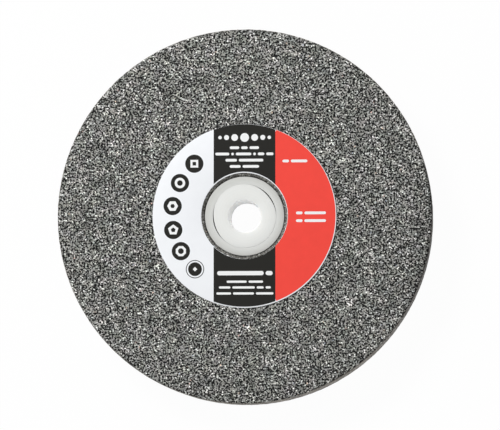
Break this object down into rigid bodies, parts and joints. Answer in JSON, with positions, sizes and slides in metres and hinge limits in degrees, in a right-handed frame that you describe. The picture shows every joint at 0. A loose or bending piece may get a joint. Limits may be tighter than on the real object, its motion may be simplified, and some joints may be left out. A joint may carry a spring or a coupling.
{
  "type": "grinding wheel",
  "caption": "Flat round bench-grinder wheel of dark grit, with a paper blotter on each face and nested plastic reducing bushes that carry the spindle bore.",
  "frame": {"origin": "on the wheel's axis, in the plane of the rear blotter's outer face, which it rests on", "axes": "+Z along the spindle axis, out of the printed front face; X and Y in the wheel's plane, +Y towards the top of the printed label"},
  "size_m": [0.15, 0.15, 0.021],
  "materials": {
    "abrasive_grit": "rough vitrified grit, light and dark grains",
    "printed_paper": "smooth printed paper, white, black and red fields",
    "plain_paper": "plain unprinted paper",
    "outer_bush_plastic": "moulded natural white, faintly translucent",
    "inner_bush_plastic": "moulded natural white, smooth"
  },
  "bodies": {
    "root": {"abrasive_wheel": "abrasive_grit", "front_blotter": "printed_paper", "rear_blotter": "plain_paper", "outer_bush": "outer_bush_plastic", "inner_bush": "inner_bush_plastic"}
  },
  "joints": []
}
